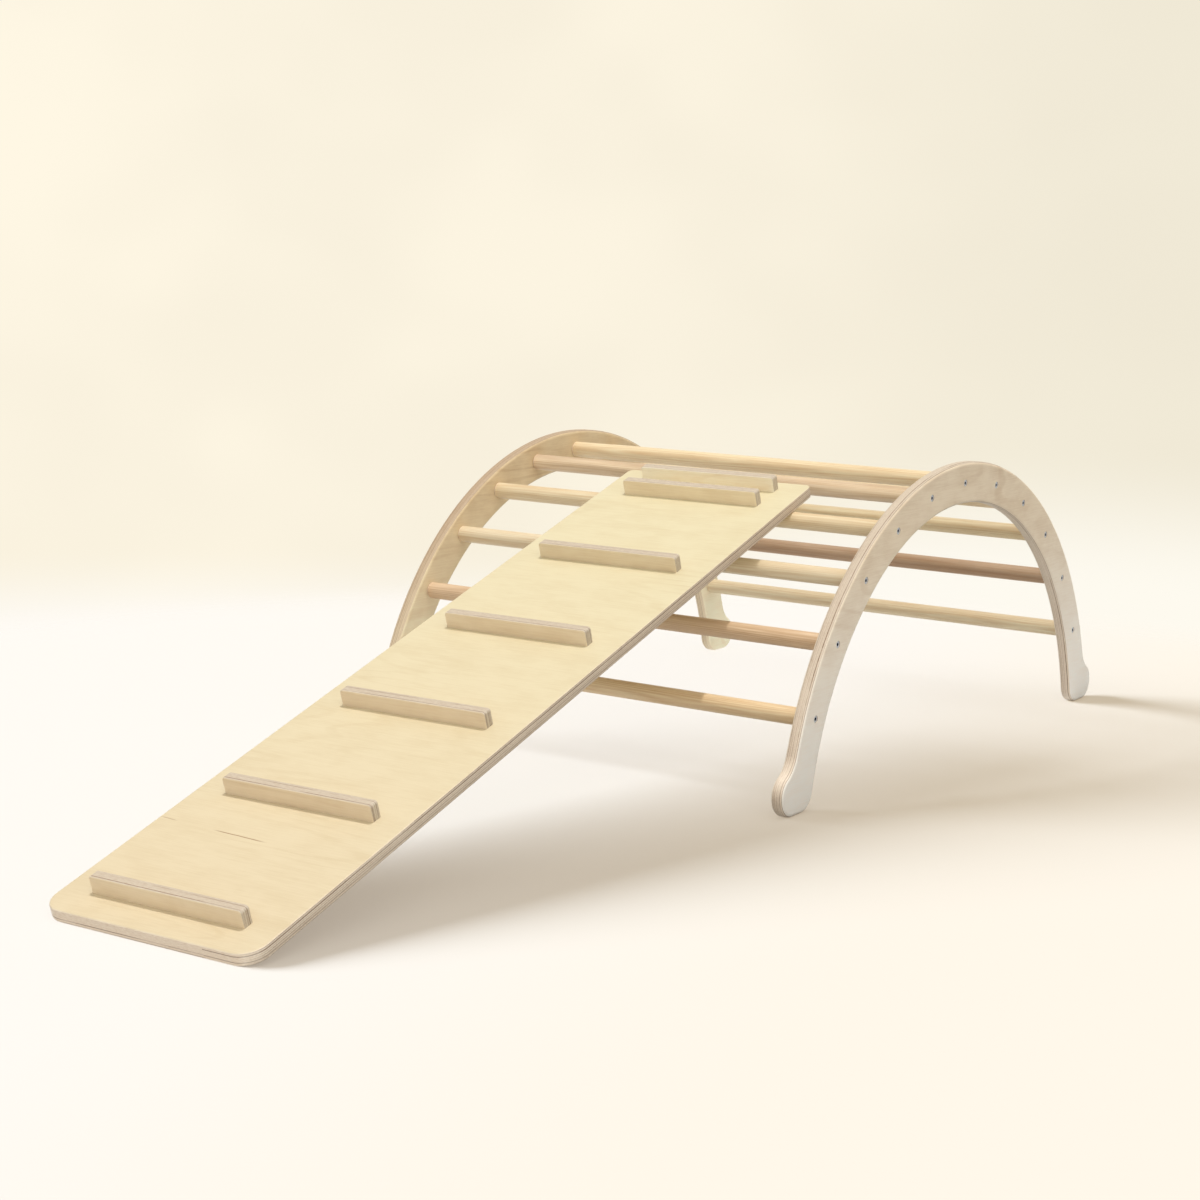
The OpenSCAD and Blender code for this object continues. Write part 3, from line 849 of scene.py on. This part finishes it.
# Backdrop. The heights where the floor ends and the wall starts are in degrees, at the left
# and at the right of the view
FAR_LEFT = shade(255, 252, 247)
FAR_RIGHT = shade(254, 250, 239)
WALL_LEFT = shade(255, 247, 228)
WALL_CREAM = shade(252, 244, 225)
WALL_RIGHT = shade(241, 234, 215)
WALL_SHADE = shade(236, 228, 209)
FLOOR_ENDS = (-10.8, -9.0)
WALL_STARTS = (-8.2, -5.3)
VIEW_RIGHT = Vector((0.826, 0.563, 0.0))
DAYLIGHT = (1.0, 0.95, 0.84, 1.0)
SKY_STRENGTH = 0.72
WINDOW_STRENGTH = 0.92
WINDOW_AT = Vector((0.529, -0.776, 0.342))


def rise(angle):
    """How far a direction at this height in degrees points up."""
    return math.sin(math.radians(angle))


world = bpy.data.worlds.new("studio")
bpy.context.scene.world = world
world.use_nodes = True
tree = world.node_tree
tree.nodes.clear()
towards = add(tree, "TexCoord").outputs["Generated"]
upward = parts(tree, towards)[2]
rightness = vector_calc(tree, "DOT_PRODUCT", towards, VIEW_RIGHT)["Value"]
wall = mix(tree, step(tree, rightness, -0.25, 0.0), WALL_LEFT, WALL_CREAM)
wall = mix(tree, step(tree, rightness, 0.0, 0.24), wall, WALL_RIGHT)
haze = cloud(tree, towards, (7.0, 7.0, 9.0), 2.0, 0.5, 3.0)
wall = mix(tree, step(tree, haze, 0.35, 0.65, 0.0, 0.3), wall, WALL_SHADE)
bend = step(tree, rightness, -0.1, 0.24)
floor_line = step(tree, bend, 0.0, 1.0, rise(FLOOR_ENDS[0]), rise(FLOOR_ENDS[1]))
wall_line = step(tree, bend, 0.0, 1.0, rise(WALL_STARTS[0]), rise(WALL_STARTS[1]))
down = step(tree, upward, floor_line, wall_line, 1.0, 0.0)
far = mix(tree, bend, FAR_LEFT, FAR_RIGHT)
backdrop = add(tree, "Background", {"Color": mix(tree, down, wall, far), "Strength": 1.0})
window = vector_calc(tree, "DOT_PRODUCT", towards, WINDOW_AT)["Value"]
window = calc(tree, "POWER", calc(tree, "MAXIMUM", window, 0.0), 2.0)
light = calc(tree, "MULTIPLY", calc(tree, "MAXIMUM", upward, 0.0), SKY_STRENGTH)
light = calc(tree, "MULTIPLY_ADD", window, WINDOW_STRENGTH, light)
daylight = add(tree, "Background", {"Color": DAYLIGHT, "Strength": light})
ray = add(tree, "LightPath")
seen = calc(tree, "MAXIMUM", ray.outputs["Is Camera Ray"], ray.outputs["Is Glossy Ray"])
seen = calc(tree, "MAXIMUM", seen, ray.outputs["Is Transmission Ray"])
choice = add(tree, "MixShader")
feed(tree, choice.inputs[0], seen)
feed(tree, choice.inputs[1], daylight.outputs[0])
feed(tree, choice.inputs[2], backdrop.outputs[0])
output = tree.nodes.new("ShaderNodeOutputWorld")
feed(tree, output.inputs["Surface"], choice.outputs[0])


def lamp(name, towards, strength, spread, colour):
    """Distant lamp; towards points from the object to the lamp, spread is in degrees."""
    data = bpy.data.lights.new(name, "SUN")
    data.energy = strength
    data.angle = math.radians(spread)
    data.color = colour
    piece = bpy.data.objects.new(name, data)
    piece.rotation_euler = Vector(towards).to_track_quat("Z", "Y").to_euler()
    bpy.context.scene.collection.objects.link(piece)
    return piece


def lamp_group(name, pieces):
    """Collection of the pieces that a lamp lights or that shade it."""
    listed = bpy.data.collections.new(name)
    for piece in pieces:
        listed.objects.link(piece)
    return listed


# The low lamp lights only the floor, and the far panel and the rearmost rungs don't shade it;
# the overhead lamp lights only the object
SHADING_RUNGS = 8
overhead = lamp("overhead_lamp", towards=(0.071, -0.045, 1.03), strength=1.76, spread=1.5,
                colour=(1.0, 0.97, 0.92))
low_left = lamp("low_lamp", towards=(-0.750, -0.433, 0.500), strength=9.5, spread=35.0,
                colour=(0.91, 0.96, 1.0))
shading = ["side_panel_right", "ramp_board"] + list(CLEAT_SPOTS)
shading += ["rung_%02d" % number for number in range(1, SHADING_RUNGS + 1)]
low_left.light_linking.receiver_collection = lamp_group("lit_by_low_lamp", [floor])
low_left.light_linking.blocker_collection = lamp_group(
    "shaded_by_low_lamp", [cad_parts[name] for name in shading])
unlit_floor = lamp_group("not_lit_by_overhead_lamp", [floor])
overhead.light_linking.receiver_collection = unlit_floor
unlit_floor.collection_objects[0].light_linking.link_state = "EXCLUDE"

# Camera where the photograph was taken: the frame is square, 1200 pixels a side
CAMERA_AT = Vector((1.7683, -3.0035, 0.7679))
AZIMUTH = math.radians(34.296)
ELEVATION = math.radians(9.573)
ROLL = math.radians(0.993)
FOCAL_LENGTH = 69.10
FILM_WIDTH = 36.0
backwards = Vector((
    math.sin(AZIMUTH) * math.cos(ELEVATION),
    -math.cos(AZIMUTH) * math.cos(ELEVATION),
    math.sin(ELEVATION),
))
level = (-backwards).cross(Vector((0, 0, 1))).normalized()
above = level.cross(-backwards)
right = math.cos(ROLL) * level + math.sin(ROLL) * above
top = math.cos(ROLL) * above - math.sin(ROLL) * level
lens = bpy.data.cameras.new("camera")
lens.lens = FOCAL_LENGTH
lens.sensor_width = FILM_WIDTH
lens.clip_start = 0.05
camera = bpy.data.objects.new("camera", lens)
bpy.context.scene.collection.objects.link(camera)
turn = Matrix((right, top, backwards)).transposed().to_4x4()
camera.matrix_world = Matrix.Translation(CAMERA_AT) @ turn
bpy.context.scene.camera = camera

bpy.context.scene.view_settings.view_transform = "Standard"
